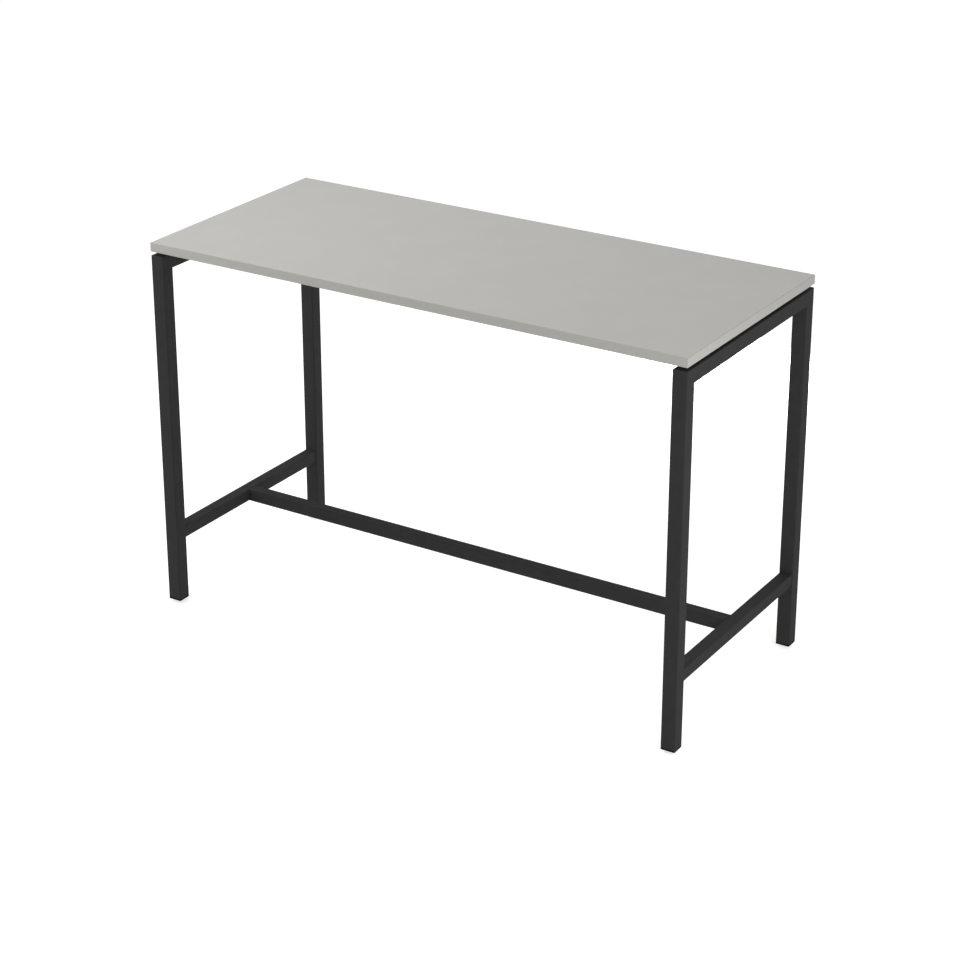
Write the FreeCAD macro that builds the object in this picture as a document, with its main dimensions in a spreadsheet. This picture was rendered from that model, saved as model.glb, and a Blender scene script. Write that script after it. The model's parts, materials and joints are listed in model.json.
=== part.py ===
import FreeCAD, Part
import math
import os
import re
import Sketcher

# A standing-height meeting table: a board with edge bands on two rails between two welded end frames,
# a footrest bar between the frames, and four levelling feet. Millimetres, +Z up, +X along the long side,
# +Y to the back. The origin is on the floor under the middle of the board.

document = FreeCAD.newDocument("StandingMeetingTable")
sizes = document.addObject("Spreadsheet::Sheet", "Sizes")

pairCount = 2
railScrewCount = 4
finCount = 4

drivingSizes = (
    ("tableLength", 1600, "board along X"),
    ("tableDepth", 700, "board along Y"),
    ("tableHeight", 1050, "floor to work surface, feet screwed in"),
    ("boardThick", 25, "faced chipboard"),
    ("bandThick", 2, "edge band"),
    ("bandRound", 1.5, "rounding of the band's outer edges"),
    ("shadowGap", 10, "open gap between board and end frames"),
    ("frameInset", 0.5, "end frames inside the board's outline"),
    ("legSide", 40, "square tube of legs and crossbars"),
    ("legWall", 2, "wall of that tube"),
    ("legCorner", 3, "outer corner radius of that tube"),
    ("lowSide", 35, "square tube of side stretchers and footrest"),
    ("lowWall", 2, "wall of that tube"),
    ("lowCorner", 3, "outer corner radius of that tube"),
    ("footrestTop", 216, "floor to the top of the footrest"),
    ("spigotLength", 60, "stub that the footrest slides over"),
    ("spigotWall", 3, "wall of the stub"),
    ("spigotPlay", 0.3, "play between stub and footrest, each side"),
    ("spigotScrewNear", 18, "stretcher to the first footrest screw"),
    ("spigotScrewPitch", 26, "between the two screws of one stub"),
    ("spigotScrewGrip", 8, "length of a footrest screw's shank"),
    ("railWide", 40, "rail under the board, along Y"),
    ("railHigh", 30, "rail under the board, along Z"),
    ("railWall", 2, "wall of the rail"),
    ("railCorner", 3, "outer corner radius of the rail"),
    ("railSpread", 350, "between the two rails' middles"),
    ("plateThick", 5, "end plate of a rail"),
    ("plateWide", 96, "end plate along Y"),
    ("plateClear", 1, "end plate to board, and to crossbar's lower face"),
    ("plateCorner", 4, "corner radius of the end plate"),
    ("boltSize", 8, "bolts between end plate and crossbar"),
    ("boltHole", 9, "clearance hole for a bolt"),
    ("boltSpread", 68, "between the two bolts of a plate"),
    ("boltGrip", 16, "length of a bolt's shank"),
    ("boltHead", 14, "diameter of the domed head"),
    ("boltHeadHigh", 4.4, "height of the domed head"),
    ("boltKey", 5, "hexagon socket of a bolt"),
    ("washerWide", 16, "outer diameter of a washer"),
    ("washerBore", 8.4, "inner diameter of a washer"),
    ("washerThick", 1.6, "thickness of a washer"),
    ("nutSide", 14, "square weld nut"),
    ("nutHigh", 6.5, "height of the weld nut"),
    ("screwSize", 6, "screws into board and stubs"),
    ("screwHole", 6.6, "clearance hole for a screw"),
    ("screwHead", 10.5, "diameter of the domed head"),
    ("screwHeadHigh", 3.3, "height of the domed head"),
    ("screwKey", 4, "hexagon socket of a screw"),
    ("tipBevel", 0.8, "bevel at the tip of a screw, bolt or stud"),
    ("headFlatShare", 0.6, "flat top of a domed head, share of its diameter"),
    ("headRimShare", 0.25, "straight rim of a domed head, share of its height"),
    ("socketShare", 0.7, "hexagon socket's depth, share of the head's height"),
    ("boardGrip", 15, "length of a screw inside the board"),
    ("insertWide", 10, "threaded insert in the board"),
    ("insertLong", 13, "length of the insert"),
    ("insertHoleDeep", 17, "blind hole for the insert"),
    ("railScrewPitch", 400, "between screws along a rail"),
    ("spacerWide", 25, "spacer between crossbar and board"),
    ("spacerSpread", 500, "between the two spacers of a crossbar"),
    ("threadFit", 0.05, "play around a thread or journal, each side"),
    ("padThick", 5, "square foot pad"),
    ("padChamfer", 0.6, "chamfer round the pad's lower edge"),
    ("bossWide", 15.5, "boss on the pad"),
    ("bossHigh", 4, "height of the boss"),
    ("flangeWide", 13, "flange on the stud's lower end"),
    ("flangeThick", 3, "thickness of the flange"),
    ("flangePlay", 0.3, "play round the flange"),
    ("swivelPlay", 0.1, "play above the flange"),
    ("studSize", 8, "levelling stud"),
    ("studKey", 5, "hexagon socket in the stud's lower end"),
    ("studKeyDeep", 4, "depth of that socket"),
    ("studSpare", 3, "stud left above the plug at full travel"),
    ("collarFlats", 13, "spanner hexagon above the pad"),
    ("collarHigh", 5, "height of the hexagon"),
    ("collarPlay", 1.2, "room round and above the hexagon"),
    ("footTravel", 10, "travel of a levelling foot"),
    ("plugHigh", 30, "tube plug with the stud's thread"),
    ("plugCore", 28, "side of the plug's core"),
    ("plugBase", 3, "plate at the plug's lower end"),
    ("finThick", 1.4, "gripping fins of the plug"),
    ("finPitch", 6, "between fins"),
    ("plugCorner", 2, "corner radius of the plug's core"),
    ("plugCap", 2, "core above the top fin"),
    ("swivelRoof", 3.8, "pad material between flange and hexagon"),
)

workedOutSizes = (
    ("underBoard", "tableHeight - boardThick", "lower face of the board"),
    ("frameTop", "underBoard - shadowGap", "upper face of the crossbars"),
    ("frameBottom", "frameTop - legSide", "lower face of the crossbars"),
    ("frameLow", "padThick", "lower end of the leg tubes"),
    ("frameEndX", "tableLength / 2 - frameInset", "outer face of an end frame"),
    ("frameMidX", "frameEndX - legSide / 2", "middle of an end frame"),
    ("frameInX", "frameEndX - legSide", "inner face of a leg or crossbar"),
    ("frameEndY", "tableDepth / 2 - frameInset", "front and rear faces of the legs"),
    ("legMidY", "frameEndY - legSide / 2", "middle of a leg"),
    ("legInY", "frameEndY - legSide", "faces of the legs that look at each other"),
    ("lowMid", "footrestTop - lowSide / 2", "middle height of footrest and stretchers"),
    ("lowInX", "frameMidX - lowSide / 2", "inner face of a side stretcher"),
    ("spigotSide", "lowSide - 2 * lowWall - 2 * spigotPlay", "outside of the stub"),
    ("plateInX", "frameInX - plateThick", "inner face of an end plate"),
    ("plateLow", "frameBottom + plateClear", "lower edge of an end plate"),
    ("boltLevel", "frameBottom + legSide / 2", "height of the bolts"),
    ("boreSide", "legSide - 2 * legWall", "inside of the leg tube"),
    ("boreCorner", "legCorner - legWall", "inner corner radius of the leg tube"),
    ("collarRoomWide", "collarFlats / cos(30) + 2 * collarPlay", "bore of the room for the hexagon"),
    ("collarRoomDeep", "bossHigh + collarHigh + collarPlay", "depth of that room"),
    ("finRun", f"{finCount - 1} * finPitch", "from the plug's lowest fin to its highest"),
    ("firstFin", "plugHigh - plugCap - finThick - finRun", "height of the lowest fin in the plug"),
    ("recessDeep", "padThick + bossHigh - swivelRoof", "depth of the flange's recess"),
    ("flangeTop", "recessDeep - swivelPlay", "upper face of the flange"),
    ("studTop", "frameLow + plugHigh + footTravel + studSpare", "upper end of the stud"),
)


def fillSheet():
    rows = [(name, str(number), note) for name, number, note in drivingSizes]
    rows += [(name, "=" + formula, note) for name, formula, note in workedOutSizes]
    for row, (name, content, note) in enumerate(rows, start=1):
        sizes.set(f"A{row}", name)
        sizes.set(f"B{row}", content)
        sizes.set(f"C{row}", note)
        sizes.setAlias(f"B{row}", name)
    document.recompute()


def value(formula):
    return float(sizes.evalExpression(formula))


def sized(formula):
    # names of sizes get the sheet's name in front; names followed by a bracket are functions
    return re.sub(r"\b([A-Za-z]\w*)\b(?!\()", r"Sizes.\1", formula)


# ---- sketches -------------------------------------------------------------------------------------

def originPart(body, role):
    return next(part for part in body.Origin.OriginFeatures if part.Role == role)


def sketchOn(body, plane, name, lift=None):
    sketch = body.newObject("Sketcher::SketchObject", name)
    sketch.AttachmentSupport = [(originPart(body, plane), "")]
    sketch.MapMode = "FlatFace"
    if lift:
        sketch.setExpression("AttachmentOffset.Base.z", sized(lift))
    return sketch


def dimension(sketch, kind, where, formula):
    index = sketch.addConstraint(Sketcher.Constraint(kind, *where, value(formula)))
    name = f"{kind.lower()}{index}"
    sketch.renameConstraint(index, name)
    sketch.setExpression("Constraints." + name, sized(formula))


def pinPoint(sketch, element, end, x, y):
    # holds a point at x, y from the sketch's origin; the formula "0" puts it on the axis
    for kind, axis, formula in (("DistanceX", -2, x), ("DistanceY", -1, y)):
        if formula == "0":
            sketch.addConstraint(Sketcher.Constraint("PointOnObject", element, end, axis))
        elif value(formula) < 0:
            dimension(sketch, kind, (element, end, -1, 1), f"-({formula})")
        else:
            dimension(sketch, kind, (-1, 1, element, end), formula)


def circle(sketch, diameter, x="0", y="0"):
    centre = FreeCAD.Vector(value(x), value(y), 0)
    round_ = Part.Circle(centre, FreeCAD.Vector(0, 0, 1), value(diameter) / 2)
    element = sketch.addGeometry(round_, False)
    dimension(sketch, "Diameter", (element,), diameter)
    pinPoint(sketch, element, 3, x, y)


def arcBetween(start, end, radius):
    # anticlockwise arc that bulges to the right of the way from start to end
    way = end - start
    across = FreeCAD.Vector(-way.y, way.x, 0).normalize()
    centre = (start + end) / 2 + across * math.sqrt(radius ** 2 - (way.Length / 2) ** 2)
    first = math.atan2(start.y - centre.y, start.x - centre.x)
    last = math.atan2(end.y - centre.y, end.x - centre.x)
    if last < first:
        last += 2 * math.pi
    return Part.ArcOfCircle(Part.Circle(centre, FreeCAD.Vector(0, 0, 1), radius), first, last)


def outline(sketch, corners):
    # closed anticlockwise outline; a corner with a third entry is reached by an arc of that radius
    points = [FreeCAD.Vector(value(corner[0]), value(corner[1]), 0) for corner in corners]
    elements = []
    for i, corner in enumerate(corners):
        start, end = points[i - 1], points[i]
        arc = len(corner) == 3
        curve = arcBetween(start, end, value(corner[2])) if arc else Part.LineSegment(start, end)
        element = sketch.addGeometry(curve, False)
        elements.append(element)
        if i > 0:
            sketch.addConstraint(Sketcher.Constraint("Coincident", elements[i - 1], 2, element, 1))
    sketch.addConstraint(Sketcher.Constraint("Coincident", elements[-1], 2, elements[0], 1))
    for element, corner in zip(elements, corners):
        pinPoint(sketch, element, 2, corner[0], corner[1])
        if len(corner) == 3:
            dimension(sketch, "Radius", (element,), corner[2])


def roundedRectangle(sketch, wide, high, corner):
    # a rectangle about the sketch's origin whose four corners share one radius
    halfWide, halfHigh, radius = value(wide) / 2, value(high) / 2, value(corner)
    elements = []
    for turn in range(4):
        reach, side = (halfHigh, halfWide) if turn % 2 == 0 else (halfWide, halfHigh)
        spin = FreeCAD.Rotation(FreeCAD.Vector(0, 0, 1), 90 * turn)
        start = spin.multVec(FreeCAD.Vector(-side + radius, -reach, 0))
        end = spin.multVec(FreeCAD.Vector(side - radius, -reach, 0))
        after = spin.multVec(FreeCAD.Vector(side, -reach + radius, 0))
        elements.append(sketch.addGeometry(Part.LineSegment(start, end), False))
        elements.append(sketch.addGeometry(arcBetween(end, after, radius), False))
    for i, element in enumerate(elements):
        following = elements[(i + 1) % len(elements)]
        sketch.addConstraint(Sketcher.Constraint("Tangent", element, 2, following, 1))
    bottom, firstArc, right, _, top, _, left, _ = elements
    for element in (bottom, top):
        sketch.addConstraint(Sketcher.Constraint("Horizontal", element))
    for element in (right, left):
        sketch.addConstraint(Sketcher.Constraint("Vertical", element))
    for arc in elements[3::2]:
        sketch.addConstraint(Sketcher.Constraint("Equal", firstArc, arc))
    sketch.addConstraint(Sketcher.Constraint("Symmetric", bottom, 1, top, 1, -1, 1))
    dimension(sketch, "Radius", (firstArc,), corner)
    dimension(sketch, "DistanceX", (left, 1, right, 1), wide)
    dimension(sketch, "DistanceY", (bottom, 1, top, 1), high)


def hexagon(sketch, flats):
    point = f"{flats} / (2 * cos(30))"
    half = f"{flats} / (4 * cos(30))"
    corners = [(half, f"-{flats} / 2"), (point, "0"), (half, f"{flats} / 2")]
    corners += [(f"-{half}", f"{flats} / 2"), (f"-{point}", "0"), (f"-{half}", f"-{flats} / 2")]
    outline(sketch, corners)


# ---- features -------------------------------------------------------------------------------------

bodies = []


def newBody(label):
    body = document.addObject("PartDesign::Body", label)
    body.Label = label
    bodies.append(body)
    return body


def place(body, x, y, z, along=None, up=None):
    # along and up are where the body's own +X and +Z point
    if along:
        own, top = FreeCAD.Vector(*along), FreeCAD.Vector(*up)
        body.Placement.Rotation = FreeCAD.Rotation(own, top.cross(own), top, "XZY")
    for axis, formula in zip("xyz", (x, y, z)):
        if formula != "0":
            body.setExpression(f"Placement.Base.{axis}", sized(formula))


def pad(body, sketch, long):
    feature = body.newObject("PartDesign::Pad", sketch.Name + "Pad")
    feature.Profile = sketch
    feature.setExpression("Length", sized(long))
    return feature


def pocket(body, sketch, deep=None, side="One side", reverse=False):
    feature = body.newObject("PartDesign::Pocket", sketch.Name + "Pocket")
    feature.Profile = sketch
    feature.SideType = side
    feature.Reversed = reverse
    if deep:
        feature.setExpression("Length", sized(deep))
    else:
        feature.Type = "ThroughAll"
    return feature


def revolve(body, sketch):
    feature = body.newObject("PartDesign::Revolution", sketch.Name + "Turned")
    feature.Profile = sketch
    feature.ReferenceAxis = (sketch, ["V_Axis"])
    feature.Angle = 360
    return feature


def repeat(body, rows, feature=None):
    # rows: one or two of (axis, extent from first to last, count); without a feature the whole body repeats
    pattern = body.newObject("PartDesign::LinearPattern", "Rows")
    if feature:
        pattern.Originals = [feature]
    else:
        pattern.TransformMode = "Whole shape"
    for suffix, (axis, extent, count) in zip(("", "2"), rows):
        setattr(pattern, "Direction" + suffix, (originPart(body, axis), [""]))
        pattern.setExpression("Length" + suffix, sized(extent))
        setattr(pattern, "Occurrences" + suffix, count)
    body.Tip = pattern


def edgesWhere(shape, test):
    names = []
    for number, edge in enumerate(shape.Edges, start=1):
        if test(edge.BoundBox.Center):
            names.append(f"Edge{number}")
    return names


def roundEdges(body, base, names, radius):
    feature = body.newObject("PartDesign::Fillet", "Rounding")
    feature.Base = (base, names)
    feature.setExpression("Radius", sized(radius))


def bevelEdges(body, base, names, size):
    feature = body.newObject("PartDesign::Chamfer", "Bevel")
    feature.Base = (base, names)
    feature.setExpression("Size", sized(size))


# ---- board ----------------------------------------------------------------------------------------

railScrewRun = f"{railScrewCount - 1} * railScrewPitch"
railScrewRows = (("X_Axis", railScrewRun, railScrewCount), ("Y_Axis", "railSpread", pairCount))
spacerRows = (("X_Axis", "2 * frameMidX", pairCount), ("Y_Axis", "spacerSpread", pairCount))
spigotScrewRows = (
    ("X_Axis", "spigotScrewPitch", pairCount),
    ("X_Axis", "2 * (lowInX - spigotScrewNear) - spigotScrewPitch", pairCount),
)
boltRows = (("X_Axis", "boltSpread", pairCount), ("X_Axis", "railSpread", pairCount))
railScrewX, railScrewY = f"({railScrewRun}) / 2", "railSpread / 2"
spacerX, spacerY = "frameMidX", "spacerSpread / 2"
sides = (("left", -1), ("right", 1))
ends = (("front", -1), ("rear", 1))


def makeBoard():
    body = newBody("tabletop_board")
    face = sketchOn(body, "XY_Plane", "BoardFace")
    halfLong = "tableLength / 2 - bandThick"
    halfDeep = "tableDepth / 2 - bandThick"
    right, left, back, front = halfLong, f"-({halfLong})", halfDeep, f"-({halfDeep})"
    outline(face, [(right, front), (right, back), (left, back), (left, front)])
    pad(body, face, "boardThick")
    for name, x, y, rows in (
        ("RailInsertHole", railScrewX, railScrewY, railScrewRows),
        ("SpacerInsertHole", spacerX, spacerY, spacerRows),
    ):
        hole = sketchOn(body, "XY_Plane", name)
        circle(hole, "insertWide", f"-({x})", f"-{y}")
        repeat(body, rows, pocket(body, hole, "insertHoleDeep", reverse=True))
    place(body, "0", "0", "underBoard")


def makeBand(label, long, wrapsCorner, x, y, along):
    # own +X along the edge, +Y outwards; a long band covers the short bands' ends
    body = newBody(label)
    face = sketchOn(body, "XY_Plane", "BandFace")
    outline(face, [(long, "0"), (long, "bandThick"), ("0", "bandThick"), ("0", "0")])
    strip = pad(body, face, "boardThick")
    document.recompute()
    thick, middle = value("bandThick"), value(long) / 2

    # edges beside the board have their middle at y 0, and a band's end edges have it half way out
    def outer(point):
        if wrapsCorner:
            return point.y > thick / 4
        return point.y > thick * 3 / 4 and abs(point.x - middle) < middle / 2

    roundEdges(body, strip, edgesWhere(strip.Shape, outer), "bandRound")
    place(body, x, y, "underBoard", along, (0, 0, 1))


def makeBands():
    sideLong = "tableDepth - 2 * bandThick"
    endX, endY = "tableLength / 2", "tableDepth / 2"
    makeBand("front_edge_band", "tableLength", True, endX, f"-{endY} + bandThick", (-1, 0, 0))
    makeBand("rear_edge_band", "tableLength", True, f"-{endX}", f"{endY} - bandThick", (1, 0, 0))
    makeBand("right_edge_band", sideLong, False, f"{endX} - bandThick", f"{endY} - bandThick", (0, -1, 0))
    makeBand("left_edge_band", sideLong, False, f"-{endX} + bandThick", f"-{endY} + bandThick", (0, 1, 0))


def makeRings(label, outside, inside, high, rows, x, y, z, along=None, up=None):
    # one ring at the body's own origin, repeated in rows
    body = newBody(label)
    ring = sketchOn(body, "XY_Plane", "Ring")
    circle(ring, outside)
    circle(ring, inside)
    pad(body, ring, high)
    repeat(body, rows)
    place(body, x, y, z, along, up)


def makeBoardFittings():
    thread = "screwSize + 2 * threadFit"
    firstRail = (f"-({railScrewX})", f"-{railScrewY}")
    firstSpacer = (f"-{spacerX}", f"-{spacerY}")
    insert = ("insertWide", thread, "insertLong")
    makeRings("rail_board_inserts", *insert, railScrewRows, *firstRail, "underBoard")
    makeRings("spacer_board_inserts", *insert, spacerRows, *firstSpacer, "underBoard")
    makeRings("board_spacers", "spacerWide", "screwHole", "shadowGap", spacerRows, *firstSpacer, "frameTop")


# ---- screws and bolts -----------------------------------------------------------------------------

def makeScrews(label, size, head, headHigh, key, grip, rows, x, y, z, along, up):
    # domed heads with a hexagon socket; own +Z points out of the head, whose bearing face is at height 0
    body = newBody(label)
    profile = sketchOn(body, "XZ_Plane", "ScrewProfile")
    outline(profile, [
        (f"{size} / 2 - tipBevel", f"-({grip})"),
        (f"{size} / 2", f"-({grip}) + tipBevel"),
        (f"{size} / 2", "0"),
        (f"{head} / 2", "0"),
        (f"{head} / 2", f"{headHigh} * headRimShare"),
        (f"{head} / 2 * headFlatShare", headHigh, f"{head} / 2"),
        ("0", headHigh),
        ("0", f"-({grip})"),
    ])
    revolve(body, profile)
    socket = sketchOn(body, "XY_Plane", "KeySocket", headHigh)
    hexagon(socket, key)
    pocket(body, socket, f"{headHigh} * socketShare")
    repeat(body, rows)
    place(body, x, y, z, along, up)


def makeBoardScrews():
    down, across = (0, 0, -1), (1, 0, 0)
    kind = ("screwSize", "screwHead", "screwHeadHigh", "screwKey")
    makeScrews("rail_board_screws", *kind, "railHigh + boardGrip", railScrewRows,
               f"-({railScrewX})", railScrewY, "underBoard - railHigh", across, down)
    makeScrews("spacer_board_screws", *kind, "legSide + shadowGap + boardGrip", spacerRows,
               f"-{spacerX}", spacerY, "frameBottom", across, down)
    makeScrews("footrest_screws", *kind, "spigotScrewGrip", spigotScrewRows,
               "-lowInX + spigotScrewNear", "0", "footrestTop - lowSide", across, down)


def makePlateBolts(side, sign):
    # two bolts through each end plate into weld nuts inside the crossbar
    inward, backward = (-sign, 0, 0), (0, 1, 0)
    firstY = "-(railSpread + boltSpread) / 2"
    makeRings(f"{side}_bolt_washers", "washerWide", "washerBore", "washerThick", boltRows,
              f"{sign} * plateInX", firstY, "boltLevel", backward, inward)
    kind = ("boltSize", "boltHead", "boltHeadHigh", "boltKey")
    makeScrews(f"{side}_rail_bolts", *kind, "boltGrip", boltRows,
               f"{sign} * (plateInX - washerThick)", firstY, "boltLevel", backward, inward)
    nuts = newBody(f"{side}_weld_nuts")
    face = sketchOn(nuts, "XY_Plane", "NutFace")
    half = "nutSide / 2"
    outline(face, [(half, f"-{half}"), (half, half), (f"-{half}", half), (f"-{half}", f"-{half}")])
    circle(face, "boltSize + 2 * threadFit")
    pad(nuts, face, "nutHigh")
    repeat(nuts, boltRows)
    place(nuts, f"{sign} * (frameInX + legWall)", firstY, "boltLevel", backward, (sign, 0, 0))


# ---- tubes ----------------------------------------------------------------------------------------

def makeTube(label, wide, high, wall, corner, long):
    # own +X runs along the tube from its near end, with the section about that axis
    body = newBody(label)
    section = sketchOn(body, "YZ_Plane", "Section")
    roundedRectangle(section, wide, high, corner)
    roundedRectangle(section, f"{wide} - 2 * {wall}", f"{high} - 2 * {wall}", f"{corner} - {wall}")
    pad(body, section, long)
    return body


def mitre(body, name, high, tip, heel):
    # cuts an end at 45 degrees: from the long side's tip to the heel, one tube's height back
    cut = sketchOn(body, "XZ_Plane", name)
    half = f"{high} / 2"
    lower = [(heel, f"-{half}"), (tip, f"-{half}")]
    lower.sort(key=lambda corner: value(corner[0]))
    outline(cut, lower + [(tip, half)])
    pocket(body, cut, side="Symmetric")


def drill(body, plane, name, diameter, x, rows, side="One side", reverse=False):
    hole = sketchOn(body, plane, name)
    circle(hole, diameter, x)
    repeat(body, rows, pocket(body, hole, side=side, reverse=reverse))


legTube = ("legSide", "legSide", "legWall", "legCorner")
lowTube = ("lowSide", "lowSide", "lowWall", "lowCorner")


def makeEndFrame(side, sign):
    for end, face in ends:
        leg = makeTube(f"{end}_{side}_leg", *legTube, "frameTop - frameLow")
        mitre(leg, "TopMitre", "legSide", "frameTop - frameLow", "frameTop - frameLow - legSide")
        place(leg, f"{sign} * frameMidX", f"{face} * legMidY", "frameLow", (0, 0, 1), (0, face, 0))
    away = (0, -sign, 0)
    bar = makeTube(f"{side}_top_crossbar", *legTube, "2 * frameEndY")
    mitre(bar, "NearMitre", "legSide", "0", "legSide")
    mitre(bar, "FarMitre", "legSide", "2 * frameEndY", "2 * frameEndY - legSide")
    drill(bar, "XY_Plane", "SpacerScrewHole", "screwHole", "frameEndY - spacerSpread / 2",
          (("X_Axis", "spacerSpread", pairCount),), side="Symmetric")
    drill(bar, "XZ_Plane", "BoltHole", "boltHole", "frameEndY - (railSpread + boltSpread) / 2",
          boltRows, reverse=True)
    place(bar, f"{sign} * frameMidX", f"{sign} * frameEndY", "frameTop - legSide / 2", away, (0, 0, 1))
    stretcher = makeTube(f"{side}_side_stretcher", *lowTube, "2 * legInY")
    place(stretcher, f"{sign} * frameMidX", f"{sign} * legInY", "lowMid", away, (0, 0, 1))


def makeFootrest():
    bar = makeTube("footrest_bar", *lowTube, "2 * lowInX")
    drill(bar, "XY_Plane", "ScrewHole", "screwHole", "spigotScrewNear", spigotScrewRows)
    place(bar, "-lowInX", "0", "lowMid")
    for side, sign in sides:
        stub = makeTube(f"{side}_footrest_spigot", "spigotSide", "spigotSide", "spigotWall",
                        "spigotWall + spigotPlay", "spigotLength")
        drill(stub, "XY_Plane", "ThreadedHole", "screwSize + 2 * threadFit", "spigotScrewNear",
              spigotScrewRows[:1])
        place(stub, f"{sign} * lowInX", "0", "lowMid", (-sign, 0, 0), (0, 0, 1))


def makeRails():
    for end, face in ends:
        rail = makeTube(f"{end}_under_top_rail", "railWide", "railHigh", "railWall", "railCorner",
                        "2 * plateInX")
        drill(rail, "XY_Plane", "BoardScrewHole", "screwHole", f"plateInX - ({railScrewX})",
              railScrewRows[:1], side="Symmetric")
        place(rail, "-plateInX", f"{face} * railSpread / 2", "underBoard - railHigh / 2")
        for side, sign in sides:
            makeEndPlate(f"{end}_rail_{side}_end_plate", sign, face)


def makeEndPlate(label, sign, face):
    body = newBody(label)
    outside = sketchOn(body, "YZ_Plane", "PlateFace")
    high = "underBoard - plateClear - plateLow"
    roundedRectangle(outside, "plateWide", high, "plateCorner")
    level = f"boltLevel - plateLow - ({high}) / 2"
    for y in ("-boltSpread / 2", "boltSpread / 2"):
        circle(outside, "boltHole", y, level)
    pad(body, outside, "plateThick")
    place(body, f"{sign} * plateInX", f"{face} * railSpread / 2", f"plateLow + ({high}) / 2",
          (sign, 0, 0), (0, 0, 1))


# ---- levelling feet -------------------------------------------------------------------------------

def makePlug(label, x, y):
    # push-in plug in the lower end of a leg: a base plate, a core and gripping fins
    body = newBody(label)
    base = sketchOn(body, "XY_Plane", "BasePlate")
    roundedRectangle(base, "boreSide", "boreSide", "boreCorner")
    pad(body, base, "plugBase")
    core = sketchOn(body, "XY_Plane", "Core")
    roundedRectangle(core, "plugCore", "plugCore", "plugCorner")
    pad(body, core, "plugHigh")
    fin = sketchOn(body, "XY_Plane", "Fin", "firstFin")
    roundedRectangle(fin, "boreSide", "boreSide", "boreCorner")
    repeat(body, (("Z_Axis", "finRun", finCount),), pad(body, fin, "finThick"))
    room = sketchOn(body, "XY_Plane", "CollarRoom")
    circle(room, "collarRoomWide")
    pocket(body, room, "collarRoomDeep", reverse=True)
    thread = sketchOn(body, "XY_Plane", "StudThread")
    circle(thread, "studSize + 2 * threadFit")
    pocket(body, thread, reverse=True)
    place(body, x, y, "frameLow")


def makeFootPad(label, x, y):
    # square pad with a boss; the stud's flange turns in a recess open to the floor
    body = newBody(label)
    plate = sketchOn(body, "XY_Plane", "PadPlate")
    roundedRectangle(plate, "legSide", "legSide", "legCorner")
    slab = pad(body, plate, "padThick")
    document.recompute()
    lowest = edgesWhere(slab.Shape, lambda point: point.z < value("padThick") / 8)
    bevelEdges(body, slab, lowest, "padChamfer")
    boss = sketchOn(body, "XY_Plane", "Boss", "padThick")
    circle(boss, "bossWide")
    pad(body, boss, "bossHigh")
    recess = sketchOn(body, "XY_Plane", "FlangeRecess")
    circle(recess, "flangeWide + 2 * flangePlay")
    pocket(body, recess, "recessDeep", reverse=True)
    journal = sketchOn(body, "XY_Plane", "JournalBore")
    circle(journal, "studSize + 2 * threadFit")
    pocket(body, journal, reverse=True)
    place(body, x, y, "0")


def makeStud(label, x, y):
    # levelling stud: a flange held in the pad, a spanner hexagon on the pad's boss, and the thread
    body = newBody(label)
    profile = sketchOn(body, "XZ_Plane", "StudProfile")
    outline(profile, [
        ("flangeWide / 2", "flangeTop - flangeThick"),
        ("flangeWide / 2", "flangeTop"),
        ("studSize / 2", "flangeTop"),
        ("studSize / 2", "studTop - tipBevel"),
        ("studSize / 2 - tipBevel", "studTop"),
        ("0", "studTop"),
        ("0", "flangeTop - flangeThick"),
    ])
    revolve(body, profile)
    collar = sketchOn(body, "XY_Plane", "SpannerHexagon", "padThick + bossHigh")
    hexagon(collar, "collarFlats")
    pad(body, collar, "collarHigh")
    socket = sketchOn(body, "XY_Plane", "KeySocket", "flangeTop - flangeThick")
    hexagon(socket, "studKey")
    pocket(body, socket, "studKeyDeep", reverse=True)
    place(body, x, y, "0")


def makeFeet():
    for side, sign in sides:
        for end, face in ends:
            x, y = f"{sign} * frameMidX", f"{face} * legMidY"
            makePlug(f"{end}_{side}_leg_plug", x, y)
            makeFootPad(f"{end}_{side}_foot_pad", x, y)
            makeStud(f"{end}_{side}_foot_stud", x, y)


# ---- build, check and write -----------------------------------------------------------------------

def checkDocument():
    failed = [item.Label for item in document.Objects if {"Invalid", "Error"} & set(item.State)]
    if failed:
        raise RuntimeError(f"these objects did not build: {failed}")
    for body in bodies:
        if body.Shape.isNull() or not body.Shape.isValid():
            raise RuntimeError(f"{body.Label} has no valid shape")


fillSheet()
makeBoard()
makeBands()
makeBoardFittings()
makeBoardScrews()
makeRails()
makeFootrest()
for side, sign in sides:
    makeEndFrame(side, sign)
    makePlateBolts(side, sign)
makeFeet()
document.recompute()
checkDocument()
os.makedirs("parts", exist_ok=True)
for body in bodies:
    body.Shape.exportStep(f"parts/{body.Label}.step")
print(f"{len(bodies)} sub-parts written")
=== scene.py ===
import json
import math
import random

import bmesh
import bpy
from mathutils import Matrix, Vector


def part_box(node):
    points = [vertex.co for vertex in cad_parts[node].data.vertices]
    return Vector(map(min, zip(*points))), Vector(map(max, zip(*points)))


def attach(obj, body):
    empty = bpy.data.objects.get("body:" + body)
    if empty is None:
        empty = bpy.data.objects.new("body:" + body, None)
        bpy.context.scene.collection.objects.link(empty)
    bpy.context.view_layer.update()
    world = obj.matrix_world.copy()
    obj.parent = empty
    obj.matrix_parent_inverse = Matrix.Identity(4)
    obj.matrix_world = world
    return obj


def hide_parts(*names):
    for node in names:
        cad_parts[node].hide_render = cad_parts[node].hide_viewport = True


# Standing meeting table: finishes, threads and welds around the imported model. Metres, +Z up.

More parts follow.
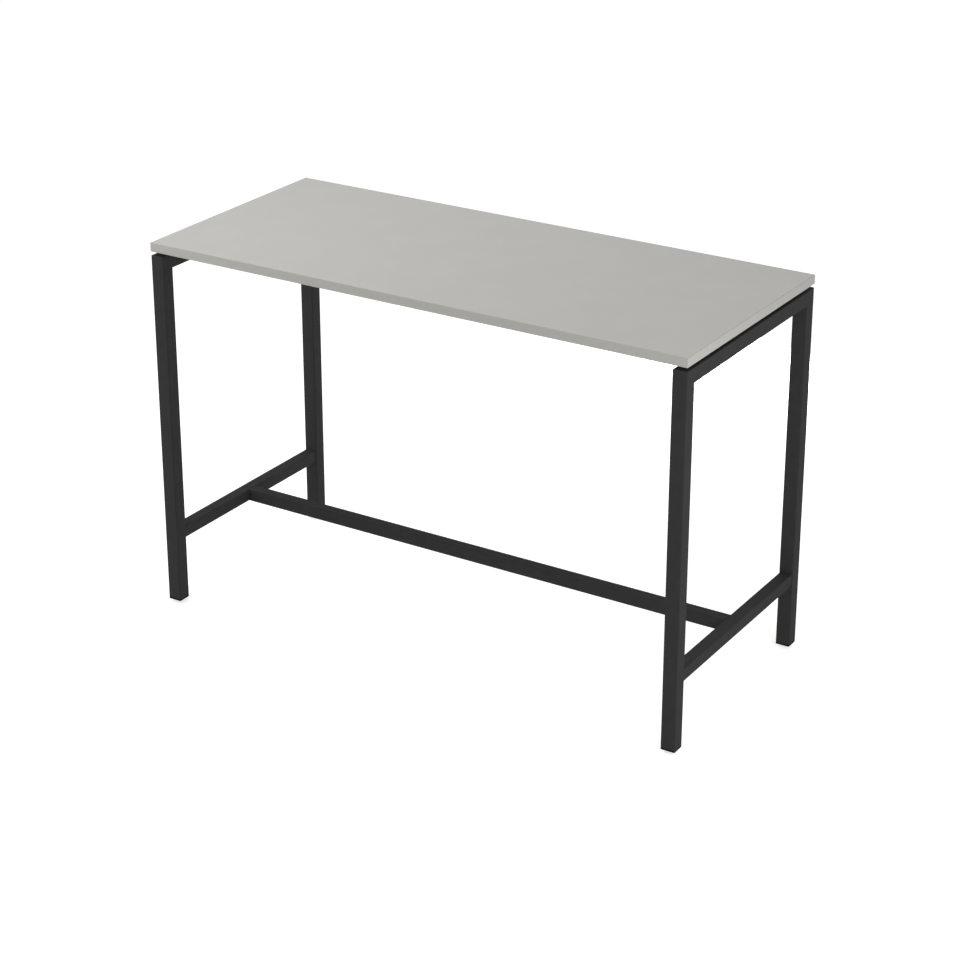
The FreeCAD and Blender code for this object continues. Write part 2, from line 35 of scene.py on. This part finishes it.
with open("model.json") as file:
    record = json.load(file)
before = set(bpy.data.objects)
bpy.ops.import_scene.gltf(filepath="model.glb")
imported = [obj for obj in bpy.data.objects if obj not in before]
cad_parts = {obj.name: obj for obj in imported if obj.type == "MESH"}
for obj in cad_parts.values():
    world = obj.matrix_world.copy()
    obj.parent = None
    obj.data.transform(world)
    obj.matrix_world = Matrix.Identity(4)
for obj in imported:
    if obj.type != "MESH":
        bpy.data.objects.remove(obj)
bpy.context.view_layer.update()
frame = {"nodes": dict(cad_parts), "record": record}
nodes = frame["nodes"]
record = frame["record"]
mm = 0.001
print("frame loaded:", len(nodes), "pieces")


def toLinear(hexColour):
    # an sRGB hex value as the linear colour that Blender's nodes take
    parts = [int(hexColour[i:i + 2], 16) / 255 for i in (0, 2, 4)]
    linear = [part / 12.92 if part <= 0.04045 else ((part + 0.055) / 1.055) ** 2.4 for part in parts]
    return (*linear, 1.0)


def plug(node, inputs):
    # each entry is a number or a colour to set, or another node's output to link
    for socket, entry in inputs.items():
        if isinstance(entry, bpy.types.NodeSocket):
            node.id_data.links.new(entry, node.inputs[socket])
        else:
            node.inputs[socket].default_value = entry


def addNode(tree, kind, inputs=None, **settings):
    # settings are the node's own menus, such as its operation
    node = tree.nodes.new(kind)
    for name, setting in settings.items():
        setattr(node, name, setting)
    plug(node, inputs or {})
    return node


def startMaterial(name):
    material = bpy.data.materials.new(name)
    material.use_nodes = True
    return material, material.node_tree


def noiseScale(grain):
    # for a noise whose grains are this many millimetres across
    return 1 / (grain * mm)


evenNoise, mildNoise, brokenNoise = 1.0, 2.0, 3.0   # detail, in octaves
noiseLow, noiseHigh = 0.3, 0.7                      # nearly all of a noise lies between these
colourA, colourB, blended = 6, 7, 2                 # a Mix node's sockets when it blends colours


melamine = {
    "light": "bbb9b4", "dark": "b9b7b2",    # decor paper, a warm light grey with hardly any drift
    "drift": 90, "fleck": 3.0,              # mm, slow drift of tone and the paper's fine mottle
    "fleckShare": 0.35,                     # the fleck's weight beside the drift
    "mottleLow": 0.5, "mottleHigh": 0.85,   # sums at which the tone is all light and all dark
    "pearl": 1.6, "pearlDepth": 0.03,       # mm, press-plate dimples, real ones are about 0.6 mm
    "smooth": 0.40, "rough": 0.48,
    "ior": 1.5, "gloss": 0.4,               # a gloss of 0.5 is what the IOR gives by itself
    "glue": "9c9a95", "glueLine": 0.12,     # colour and mm of the joint with the edge bands
    "glueShare": 0.8,                       # how much of it shows
}


def makeMelamine():
    # melamine-faced chipboard pressed against a pearl plate: an even colour with a low, broken-up sheen
    material, tree = startMaterial("melamineFacedBoard")
    place = addNode(tree, "ShaderNodeTexCoord").outputs["Object"]
    drift = addNode(tree, "ShaderNodeTexNoise", {
        "Vector": place, "Scale": noiseScale(melamine["drift"]), "Detail": evenNoise})
    fleck = addNode(tree, "ShaderNodeTexNoise", {
        "Vector": place, "Scale": noiseScale(melamine["fleck"]), "Detail": brokenNoise})
    mottle = addNode(tree, "ShaderNodeMath", {
        0: fleck.outputs["Fac"], 1: melamine["fleckShare"],
        2: drift.outputs["Fac"]}, operation="MULTIPLY_ADD")
    tone = addNode(tree, "ShaderNodeMapRange", {
        "Value": mottle.outputs[0], "From Min": melamine["mottleLow"], "From Max": melamine["mottleHigh"]})
    paper = addNode(tree, "ShaderNodeMix", {
        "Factor": tone.outputs["Result"], colourA: toLinear(melamine["light"]),
        colourB: toLinear(melamine["dark"])}, data_type="RGBA")

    # how far a point lies past the board's edges, below 0 on the board; the joint is just inside them
    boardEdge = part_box("tabletop_board")[1]
    split = addNode(tree, "ShaderNodeSeparateXYZ", {"Vector": place})
    past = []
    for axis, half in (("X", boardEdge.x), ("Y", boardEdge.y)):
        away = addNode(tree, "ShaderNodeMath", {0: split.outputs[axis]}, operation="ABSOLUTE")
        past.append(addNode(tree, "ShaderNodeMath", {0: away.outputs[0], 1: half}, operation="SUBTRACT"))
    rim = addNode(tree, "ShaderNodeMath", {
        0: past[0].outputs[0], 1: past[1].outputs[0]}, operation="MAXIMUM")
    joint = addNode(tree, "ShaderNodeMapRange", {
        "Value": rim.outputs[0], "From Min": -melamine["glueLine"] * mm,
        "From Max": -melamine["glueLine"] / 2 * mm, "To Max": melamine["glueShare"]})
    colour = addNode(tree, "ShaderNodeMix", {
        "Factor": joint.outputs["Result"], colourA: paper.outputs[blended],
        colourB: toLinear(melamine["glue"])}, data_type="RGBA")

    pearl = addNode(tree, "ShaderNodeTexNoise", {
        "Vector": place, "Scale": noiseScale(melamine["pearl"]), "Detail": evenNoise})
    roughness = addNode(tree, "ShaderNodeMapRange", {
        "Value": pearl.outputs["Fac"], "From Min": noiseLow, "From Max": noiseHigh,
        "To Min": melamine["smooth"], "To Max": melamine["rough"]})
    dimples = addNode(tree, "ShaderNodeBump", {
        "Height": pearl.outputs["Fac"], "Distance": melamine["pearlDepth"] * mm})
    plug(tree.nodes["Principled BSDF"], {
        "Base Color": colour.outputs[blended], "Roughness": roughness.outputs["Result"],
        "Normal": dimples.outputs["Normal"],
        "IOR": melamine["ior"], "Specular IOR Level": melamine["gloss"]})
    return material


edgeBand = {
    "light": "adaba6", "dark": "aaa8a3",    # printed and lacquered to match the board
    "streak": 2.5, "streakDepth": 0.012,    # mm, embossed lines, three times too coarse so that they show
    "lengthwise": 0.12,                     # how much slower the lines change along the band than across it
    "smooth": 0.42, "rough": 0.5,
    "ior": 1.49, "gloss": 0.4,
}


def makeEdgeBand():
    # ABS edge band, extruded, embossed and lacquered: duller than the board, with faint lengthwise lines
    material, tree = startMaterial("absEdgeBand")
    place = addNode(tree, "ShaderNodeTexCoord").outputs["Object"]
    along = edgeBand["lengthwise"]
    drawnOut = addNode(tree, "ShaderNodeMapping", {"Vector": place, "Scale": (along, along, 1)})
    streak = addNode(tree, "ShaderNodeTexNoise", {
        "Vector": drawnOut.outputs["Vector"], "Scale": noiseScale(edgeBand["streak"]), "Detail": mildNoise})
    tone = addNode(tree, "ShaderNodeMapRange", {
        "Value": streak.outputs["Fac"], "From Min": noiseLow, "From Max": noiseHigh})
    colour = addNode(tree, "ShaderNodeMix", {
        "Factor": tone.outputs["Result"], colourA: toLinear(edgeBand["light"]),
        colourB: toLinear(edgeBand["dark"])}, data_type="RGBA")
    roughness = addNode(tree, "ShaderNodeMapRange", {
        "Value": streak.outputs["Fac"], "From Min": noiseLow, "From Max": noiseHigh,
        "To Min": edgeBand["smooth"], "To Max": edgeBand["rough"]})
    lines = addNode(tree, "ShaderNodeBump", {
        "Height": streak.outputs["Fac"], "Distance": edgeBand["streakDepth"] * mm})
    plug(tree.nodes["Principled BSDF"], {
        "Base Color": colour.outputs[blended], "Roughness": roughness.outputs["Result"],
        "Normal": lines.outputs["Normal"],
        "IOR": edgeBand["ior"], "Specular IOR Level": edgeBand["gloss"]})
    return material


powderCoat = {
    "light": "343434", "dark": "313131",    # charcoal
    "cloud": 35, "grit": 0.9,               # mm, slow drift and the fine texture, real grit is about 0.4 mm
    "gritShare": 0.6, "gritDepth": 0.035,   # the grit's weight beside the drift, and mm
    "mottleLow": 0.6, "mottleHigh": 1.0,    # sums at which the tone is all dark and all light
    "smooth": 0.7, "rough": 0.8,
    "ior": 1.5, "gloss": 0.08,              # the texture swallows most of it
}


def makePowderCoat():
    # polyester powder coat with fine texture, baked on steel: matt, slightly grainy, wide dull highlights
    material, tree = startMaterial("fineTexturePowderCoat")
    place = addNode(tree, "ShaderNodeTexCoord").outputs["Object"]
    cloud = addNode(tree, "ShaderNodeTexNoise", {
        "Vector": place, "Scale": noiseScale(powderCoat["cloud"]), "Detail": mildNoise})
    grit = addNode(tree, "ShaderNodeTexNoise", {
        "Vector": place, "Scale": noiseScale(powderCoat["grit"]), "Detail": brokenNoise})
    mottle = addNode(tree, "ShaderNodeMath", {
        0: grit.outputs["Fac"], 1: powderCoat["gritShare"],
        2: cloud.outputs["Fac"]}, operation="MULTIPLY_ADD")
    tone = addNode(tree, "ShaderNodeMapRange", {
        "Value": mottle.outputs[0], "From Min": powderCoat["mottleLow"],
        "From Max": powderCoat["mottleHigh"]})
    colour = addNode(tree, "ShaderNodeMix", {
        "Factor": tone.outputs["Result"], colourA: toLinear(powderCoat["dark"]),
        colourB: toLinear(powderCoat["light"])}, data_type="RGBA")
    roughness = addNode(tree, "ShaderNodeMapRange", {
        "Value": grit.outputs["Fac"], "From Min": noiseLow, "From Max": noiseHigh,
        "To Min": powderCoat["smooth"], "To Max": powderCoat["rough"]})
    grains = addNode(tree, "ShaderNodeBump", {
        "Height": grit.outputs["Fac"], "Distance": powderCoat["gritDepth"] * mm})
    plug(tree.nodes["Principled BSDF"], {
        "Base Color": colour.outputs[blended], "Roughness": roughness.outputs["Result"],
        "Normal": grains.outputs["Normal"],
        "IOR": powderCoat["ior"], "Specular IOR Level": powderCoat["gloss"]})
    return material


nylon = {
    "light": "070707", "dark": "040404",    # dyed through
    "spark": 0.5, "sparkDepth": 0.015,      # mm, the mould's fine craters, real ones are about 0.1 mm
    "smooth": 0.66, "rough": 0.76,
    "ior": 1.53, "gloss": 0.03,
}


def makeNylon():
    # black nylon from a spark-eroded mould: deep black with an even satin surface
    material, tree = startMaterial("mouldedNylon")
    place = addNode(tree, "ShaderNodeTexCoord").outputs["Object"]
    spark = addNode(tree, "ShaderNodeTexNoise", {
        "Vector": place, "Scale": noiseScale(nylon["spark"]), "Detail": mildNoise})
    tone = addNode(tree, "ShaderNodeMapRange", {
        "Value": spark.outputs["Fac"], "From Min": noiseLow, "From Max": noiseHigh})
    colour = addNode(tree, "ShaderNodeMix", {
        "Factor": tone.outputs["Result"], colourA: toLinear(nylon["dark"]),
        colourB: toLinear(nylon["light"])}, data_type="RGBA")
    roughness = addNode(tree, "ShaderNodeMapRange", {
        "Value": spark.outputs["Fac"], "From Min": noiseLow, "From Max": noiseHigh,
        "To Min": nylon["smooth"], "To Max": nylon["rough"]})
    craters = addNode(tree, "ShaderNodeBump", {
        "Height": spark.outputs["Fac"], "Distance": nylon["sparkDepth"] * mm})
    plug(tree.nodes["Principled BSDF"], {
        "Base Color": colour.outputs[blended], "Roughness": roughness.outputs["Result"],
        "Normal": craters.outputs["Normal"],
        "IOR": nylon["ior"], "Specular IOR Level": nylon["gloss"]})
    return material


zinc = {
    "bright": "c3c6ca", "straw": "bdb9a8",  # clear passivation with a straw tint in places
    "tint": 6, "strawShare": 0.7,           # mm, and how strong the tint gets
    "tintLow": 0.45, "tintHigh": 0.75,      # of the noise, where it begins and where it is full
    "crystal": 0.4, "crystalDepth": 0.004,  # mm, barrel-plated grain, drawn about four times too coarse
    "smooth": 0.24, "rough": 0.4,
}


def makeZinc():
    # bright zinc plating, clear passivated: cool metal with soft reflections and a faint straw tint
    material, tree = startMaterial("zincPlatedSteel")
    place = addNode(tree, "ShaderNodeTexCoord").outputs["Object"]
    tint = addNode(tree, "ShaderNodeTexNoise", {
        "Vector": place, "Scale": noiseScale(zinc["tint"]), "Detail": mildNoise})
    tone = addNode(tree, "ShaderNodeMapRange", {
        "Value": tint.outputs["Fac"], "From Min": zinc["tintLow"], "From Max": zinc["tintHigh"],
        "To Max": zinc["strawShare"]})
    colour = addNode(tree, "ShaderNodeMix", {
        "Factor": tone.outputs["Result"], colourA: toLinear(zinc["bright"]),
        colourB: toLinear(zinc["straw"])}, data_type="RGBA")
    crystal = addNode(tree, "ShaderNodeTexNoise", {
        "Vector": place, "Scale": noiseScale(zinc["crystal"]), "Detail": mildNoise})
    roughness = addNode(tree, "ShaderNodeMapRange", {
        "Value": crystal.outputs["Fac"], "From Min": noiseLow, "From Max": noiseHigh,
        "To Min": zinc["smooth"], "To Max": zinc["rough"]})
    grains = addNode(tree, "ShaderNodeBump", {
        "Height": crystal.outputs["Fac"], "Distance": zinc["crystalDepth"] * mm})
    plug(tree.nodes["Principled BSDF"], {
        "Base Color": colour.outputs[blended], "Roughness": roughness.outputs["Result"],
        "Normal": grains.outputs["Normal"], "Metallic": 1.0})
    return material


bareSteel = {
    "clean": "8a8b8d", "heated": "6a6664",  # mill finish with some heat tint from welding
    "tint": 4,                              # mm
    "smooth": 0.4, "rough": 0.6,
}


def makeBareSteel():
    # plain cold-formed steel: grey, dull, darker where the weld heated it
    material, tree = startMaterial("plainSteel")
    place = addNode(tree, "ShaderNodeTexCoord").outputs["Object"]
    tint = addNode(tree, "ShaderNodeTexNoise", {
        "Vector": place, "Scale": noiseScale(bareSteel["tint"]), "Detail": brokenNoise})
    tone = addNode(tree, "ShaderNodeMapRange", {
        "Value": tint.outputs["Fac"], "From Min": noiseLow, "From Max": noiseHigh})
    colour = addNode(tree, "ShaderNodeMix", {
        "Factor": tone.outputs["Result"], colourA: toLinear(bareSteel["clean"]),
        colourB: toLinear(bareSteel["heated"])}, data_type="RGBA")
    roughness = addNode(tree, "ShaderNodeMapRange", {
        "Value": tint.outputs["Fac"], "From Min": noiseLow, "From Max": noiseHigh,
        "To Min": bareSteel["smooth"], "To Max": bareSteel["rough"]})
    plug(tree.nodes["Principled BSDF"], {
        "Base Color": colour.outputs[blended], "Roughness": roughness.outputs["Result"], "Metallic": 1.0})
    return material


finishes = {
    "board_facing": makeMelamine(),
    "edge_band": makeEdgeBand(),
    "frame_powder_coat": makePowderCoat(),
    "black_plastic": makeNylon(),
    "zinc_plated_steel": makeZinc(),
    "weld_nut_steel": makeBareSteel(),
}
for entry in record["subparts"]:
    piece = nodes[entry["node"]]
    piece.data.materials.clear()
    piece.data.materials.append(finishes[entry["material_slot"]])
print("finishes on the packed pieces:", len(record["subparts"]))


def addPiece(name, mesh, slot, body, at=(0, 0, 0)):
    mesh.materials.append(finishes[slot])
    piece = bpy.data.objects.new(name, mesh)
    piece.location = at
    bpy.context.scene.collection.objects.link(piece)
    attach(piece, body)
    return piece


# levelling stud M8 x 1.25, millimetres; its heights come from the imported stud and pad
stud = {
    "flange": 13, "flangeHigh": 3, "break": 0.25,       # held in the pad, with its edges broken
    "journal": 8,                                       # turns in the pad's bore
    "flats": 13, "washerFace": 12.4, "hexHigh": 5,
    "chamfer": 30, "chamferSteps": 4,                   # degrees off the hexagon's two ends
    "thread": 8, "core": 6.6, "pitch": 1.25,
    "crestFlat": 1 / 8, "rootFlat": 1 / 4,              # of the pitch
    "runOut": 1.6, "tip": 0.9,                          # the thread fades in and out over these
    "socket": 5, "socketDeep": 4,
    "around": 48, "merge": 0.001,                       # points in a ring, and when two are one
}


def aroundHexagon(flats, angle):
    # how far out a hexagon's side lies at this angle, which is 0 at a corner
    side = math.radians(60)
    return flats / 2 / math.cos(angle % side - side / 2)


def makeStudMesh():
    # heights in millimetres from the floor, around the stud's own middle
    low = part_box("front_left_foot_stud")[0].z / mm
    top = low + stud["flangeHigh"]
    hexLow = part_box("front_left_foot_pad")[1].z / mm
    hexTop = hexLow + stud["hexHigh"]
    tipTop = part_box("front_left_foot_stud")[1].z / mm
    mesh = bmesh.new()
    count = stud["around"]
    angles = [2 * math.pi * i / count for i in range(count)]

    def point(radius, angle, height):
        return mesh.verts.new((radius * math.cos(angle) * mm, radius * math.sin(angle) * mm, height * mm))

    def turned(radius, height):
        return [point(radius, angle, height) for angle in angles]

    def hexagon(flats, height, widest=math.inf):
        return [point(min(widest, aroundHexagon(flats, angle)), angle, height) for angle in angles]

    # from the socket's end out over the flange, up the journal, round the hexagon and in to the core
    edge = stud["break"]
    flange, journal, core = stud["flange"] / 2, stud["journal"] / 2, stud["core"] / 2
    rings = [
        hexagon(stud["socket"], low + stud["socketDeep"]),
        hexagon(stud["socket"], low + edge), hexagon(stud["socket"] + 2 * edge, low),
        turned(flange - edge, low), turned(flange, low + edge),
        turned(flange, top - edge), turned(flange - edge, top),
        turned(journal, top), turned(journal, hexLow),
    ]
    washer, slope = stud["washerFace"] / 2, math.tan(math.radians(90 - stud["chamfer"]))
    deepest = (aroundHexagon(stud["flats"], 0) - washer) / slope
    depths = [deepest * i / stud["chamferSteps"] for i in range(stud["chamferSteps"] + 1)]
    rings += [hexagon(stud["flats"], hexLow + deep, washer + deep * slope) for deep in depths]
    rings += [hexagon(stud["flats"], hexTop - deep, washer + deep * slope) for deep in reversed(depths)]
    rings.append(turned(core, hexTop))
    for lower, upper in zip(rings, rings[1:]):
        for i in range(count):
            following = (i + 1) % count
            mesh.faces.new((lower[i], lower[following], upper[following], upper[i]))
    mesh.faces.new(list(reversed(rings[0])))

    # the thread is one strip of rows that climb with the helix: crest, crest, root, root
    crest = stud["thread"] / 2
    flank = (1 - stud["crestFlat"] - stud["rootFlat"]) / 2
    profile = ((0, crest), (stud["crestFlat"], crest), (stud["crestFlat"] + flank, core), (1 - flank, core))
    start, end, pitch = hexTop, tipTop, stud["pitch"]
    parts = len(profile)
    turns = math.ceil((end - start) / pitch) + 1
    rows = []
    for row in range(turns * parts + 1):
        share, radius = profile[row % parts]
        climb = start + pitch * (row // parts - 1 + share)
        points = []
        for i, angle in enumerate(angles):
            height = min(max(climb + pitch * i / count, start), end)
            fade = min(1.0, (height - start) / stud["runOut"], (end - height) / stud["tip"])
            points.append(point(core + (radius - core) * fade, angle, height))
        rows.append(points)
    last = len(rows) - 1
    for row in range(last):
        for i in range(count - 1):
            mesh.faces.new((rows[row][i], rows[row][i + 1], rows[row + 1][i + 1], rows[row + 1][i]))
        # the seam joins a row's end to the start of the row one turn higher
        following, above = min(row + parts, last), min(row + parts + 1, last)
        if following != above:
            mesh.faces.new((rows[row][-1], rows[following][0], rows[above][0], rows[row + 1][-1]))
        else:
            mesh.faces.new((rows[row][-1], rows[following][0], rows[row + 1][-1]))
    mesh.faces.new(turned(core, end))
    bmesh.ops.remove_doubles(mesh, verts=mesh.verts[:], dist=stud["merge"] * mm)
    bmesh.ops.recalc_face_normals(mesh, faces=mesh.faces[:])
    made = bpy.data.meshes.new("threadedStud")
    mesh.to_mesh(made)
    mesh.free()
    return made


studMesh = makeStudMesh()
for end in ("front", "rear"):
    for side in ("left", "right"):
        node = f"{end}_{side}_foot_stud"
        low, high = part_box(node)
        middle = (low + high) / 2
        piece = addPiece(f"{end}_{side}_threaded_stud", studMesh.copy(), "zinc_plated_steel",
                         f"{end}_{side}_stud", (middle.x, middle.y, 0))
        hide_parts(node)
print("threaded studs: 4, faces in each:", len(studMesh.polygons))


# fillet welds under the coat, millimetres
weld = {
    "frameSize": 2.1, "railSize": 2.8,      # leg of the fillet
    "ripple": 1.9, "rippleShare": 0.16,     # spacing and depth of the scales
    "uneven": 0.03, "seed": 7,              # share by which the hand wavers
    "taper": 1.4, "endShare": 0.1,          # the bead thins out over its ends
    "inset": 3.2, "sink": 0.15,             # from the tube's corner, and into the tubes
    "step": 0.38, "fewestSteps": 4,
    "arcPoints": 6, "flatness": 0.7,        # 1 is a flat face, less is a fuller bead
}
chance = random.Random(weld["seed"])


def addBead(mesh, start, end, sideA, sideB, size):
    # a fillet along start to end in the corner between two faces; the sides point away from the corner
    start, end, sideA, sideB = (Vector(entry) for entry in (start, end, sideA, sideB))
    length = (end - start).length / mm
    steps = max(weld["fewestSteps"], round(length / weld["step"]))
    sink = weld["sink"] * mm
    rings = []
    for i in range(steps + 1):
        along = length * i / steps
        nearEnd = min(along, length - along) / weld["taper"]
        taper = math.sqrt(min(1.0, weld["endShare"] + nearEnd))
        scale = 1 - weld["rippleShare"] * abs(math.sin(math.pi * along / weld["ripple"]))
        radius = size * mm * taper * scale * chance.uniform(1 - weld["uneven"], 1 + weld["uneven"])
        corner = start.lerp(end, i / steps)
        ring = [mesh.verts.new(corner - (sideA + sideB) * sink)]
        for k in range(weld["arcPoints"]):
            angle = math.pi / 2 * k / (weld["arcPoints"] - 1)
            reach = radius / (math.cos(angle) + math.sin(angle)) ** weld["flatness"]
            offset = (sideA * math.cos(angle) + sideB * math.sin(angle)) * reach
            if k == 0:
                offset -= sideB * sink
            if k == weld["arcPoints"] - 1:
                offset -= sideA * sink
            ring.append(mesh.verts.new(corner + offset))
        rings.append(ring)
    for lower, upper in zip(rings, rings[1:]):
        for k in range(len(lower)):
            following = (k + 1) % len(lower)
            mesh.faces.new((lower[k], lower[following], upper[following], upper[k]))
    mesh.faces.new(rings[0])
    mesh.faces.new(rings[-1])


def finishBeads(name, mesh):
    bmesh.ops.recalc_face_normals(mesh, faces=mesh.faces[:])
    for face in mesh.faces:
        face.smooth = True
    made = bpy.data.meshes.new(name)
    mesh.to_mesh(made)
    mesh.free()
    return addPiece(name, made, "frame_powder_coat", "root")


def makeFrameWelds(side, sign):
    # stretcher and crossbar against the legs, on the sides that face in and down
    mesh = bmesh.new()
    inset, size = weld["inset"] * mm, weld["frameSize"]
    low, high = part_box(f"{side}_side_stretcher")
    barLow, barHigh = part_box(f"{side}_top_crossbar")
    innerX = low.x if sign > 0 else high.x
    inward, down = (-sign, 0, 0), (0, 0, -1)
    for y, away in ((low.y, (0, 1, 0)), (high.y, (0, -1, 0))):
        addBead(mesh, (low.x + inset, y, low.z), (high.x - inset, y, low.z), away, down, size)
        addBead(mesh, (innerX, y, low.z + inset), (innerX, y, high.z - inset), away, inward, size)
        addBead(mesh, (barLow.x + inset, y, barLow.z), (barHigh.x - inset, y, barLow.z), away, down, size)
    return finishBeads(f"{side}_frame_welds", mesh)


def makeRailWelds(end):
    # each rail against its two end plates, on both flanks and below
    mesh = bmesh.new()
    inset, size = weld["inset"] * mm, weld["railSize"]
    low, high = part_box(f"{end}_under_top_rail")
    for x, inward in ((low.x, 1), (high.x, -1)):
        away = (inward, 0, 0)
        for y, outward in ((low.y, -1), (high.y, 1)):
            addBead(mesh, (x, y, low.z + inset), (x, y, high.z - inset), away, (0, outward, 0), size)
        addBead(mesh, (x, low.y + inset, low.z), (x, high.y - inset, low.z), away, (0, 0, -1), size)
    return finishBeads(f"{end}_rail_welds", mesh)


makeFrameWelds("left", -1)
makeFrameWelds("right", 1)
makeRailWelds("front")
makeRailWelds("rear")
print("welds: 2 end frames, 2 rails")


studio = {
    "fill": "ffffff", "fillStrength": 0.52,  # even light from all round
    "floorColour": "e6e6e4", "floorGlow": 0.59,
    "floorSize": 16,                         # metres
    "floorDrop": 10,                         # mm, room for the pads to screw down
    "lamps": (
        # name, place, aimed at, size, watts, mirrored in gloss; the two low ones would glare on the top
        ("frontTopLamp", (-1.35, -0.9, 3.3), (-0.8, 0, 1.0), 2.0, 34, True),
        ("leftLamp", (-3.3, -2.2, 0.9), (-0.8, 0, 0.5), 1.8, 30, True),
        ("rightLamp", (2.2, -0.9, 1.1), (0.8, -0.2, 0.9), 0.8, 16.3, False),
        ("rearLamp", (-0.1, 2.4, 0.35), (-0.7, 0.35, 0.5), 0.7, 22, False),
    ),
}


def seenWhite(tree):
    # 1 for rays from the camera and for mirror and glass rays, which also meet the white background
    rays = addNode(tree, "ShaderNodeLightPath").outputs
    first = addNode(tree, "ShaderNodeMath", {
        0: rays["Is Camera Ray"], 1: rays["Is Glossy Ray"]}, operation="MAXIMUM")
    both = addNode(tree, "ShaderNodeMath", {
        0: first.outputs[0], 1: rays["Is Transmission Ray"]}, operation="MAXIMUM")
    return both.outputs[0]


def makeWorld():
    world = bpy.data.worlds.new("paleStudio")
    world.use_nodes = True
    tree = world.node_tree
    tree.nodes.clear()
    fill = addNode(tree, "ShaderNodeBackground", {
        "Color": toLinear(studio["fill"]), "Strength": studio["fillStrength"]})
    white = addNode(tree, "ShaderNodeBackground", {"Color": toLinear("ffffff"), "Strength": 1.0})
    mix = addNode(tree, "ShaderNodeMixShader", {
        0: seenWhite(tree), 1: fill.outputs[0], 2: white.outputs[0]})
    addNode(tree, "ShaderNodeOutputWorld", {"Surface": mix.outputs[0]})
    bpy.context.scene.world = world


def makeFloor():
    # pale floor that takes the table's shadow; the glow only lifts it to white for the eye
    half = studio["floorSize"] / 2
    level = -studio["floorDrop"] * mm
    corners = [(-half, -half, level), (half, -half, level), (half, half, level), (-half, half, level)]
    mesh = bpy.data.meshes.new("floor")
    mesh.from_pydata(corners, [], [(0, 1, 2, 3)])
    material, tree = startMaterial("paleFloor")
    tree.nodes.clear()
    matt = addNode(tree, "ShaderNodeBsdfDiffuse", {"Color": toLinear(studio["floorColour"])})
    glow = addNode(tree, "ShaderNodeEmission", {"Strength": studio["floorGlow"]})
    lifted = addNode(tree, "ShaderNodeAddShader", {0: matt.outputs[0], 1: glow.outputs[0]})
    mix = addNode(tree, "ShaderNodeMixShader", {
        0: seenWhite(tree), 1: matt.outputs[0], 2: lifted.outputs[0]})
    addNode(tree, "ShaderNodeOutputMaterial", {"Surface": mix.outputs[0]})
    mesh.materials.append(material)
    floor = bpy.data.objects.new("floor", mesh)
    bpy.context.scene.collection.objects.link(floor)


def makeLamps():
    for name, place, target, size, watts, mirrored in studio["lamps"]:
        light = bpy.data.lights.new(name, "AREA")
        light.size = size
        light.energy = watts
        lamp = bpy.data.objects.new(name, light)
        lamp.visible_glossy = mirrored
        lamp.location = place
        lamp.rotation_euler = (Vector(target) - Vector(place)).to_track_quat("-Z", "Y").to_euler()
        bpy.context.scene.collection.objects.link(lamp)


makeWorld()
makeFloor()
makeLamps()
print("studio: floor, background and", len(studio["lamps"]), "lamps")


camera = {
    "place": (3.1491, -4.9982, 3.0552),
    "turn": 32.12, "tilt": 21.75,   # degrees to the left of +Y and down
    "lens": 90, "shiftY": -0.1,     # mm, and a share of the frame's width
}


def makeCamera():
    data = bpy.data.cameras.new("camera")
    data.lens = camera["lens"]
    data.shift_y = camera["shiftY"]
    thing = bpy.data.objects.new("camera", data)
    thing.location = camera["place"]
    thing.rotation_euler = (math.radians(90 - camera["tilt"]), 0, math.radians(camera["turn"]))
    bpy.context.scene.collection.objects.link(thing)
    bpy.context.scene.camera = thing


makeCamera()
bpy.context.scene.view_settings.view_transform = "Standard"
print("camera set")
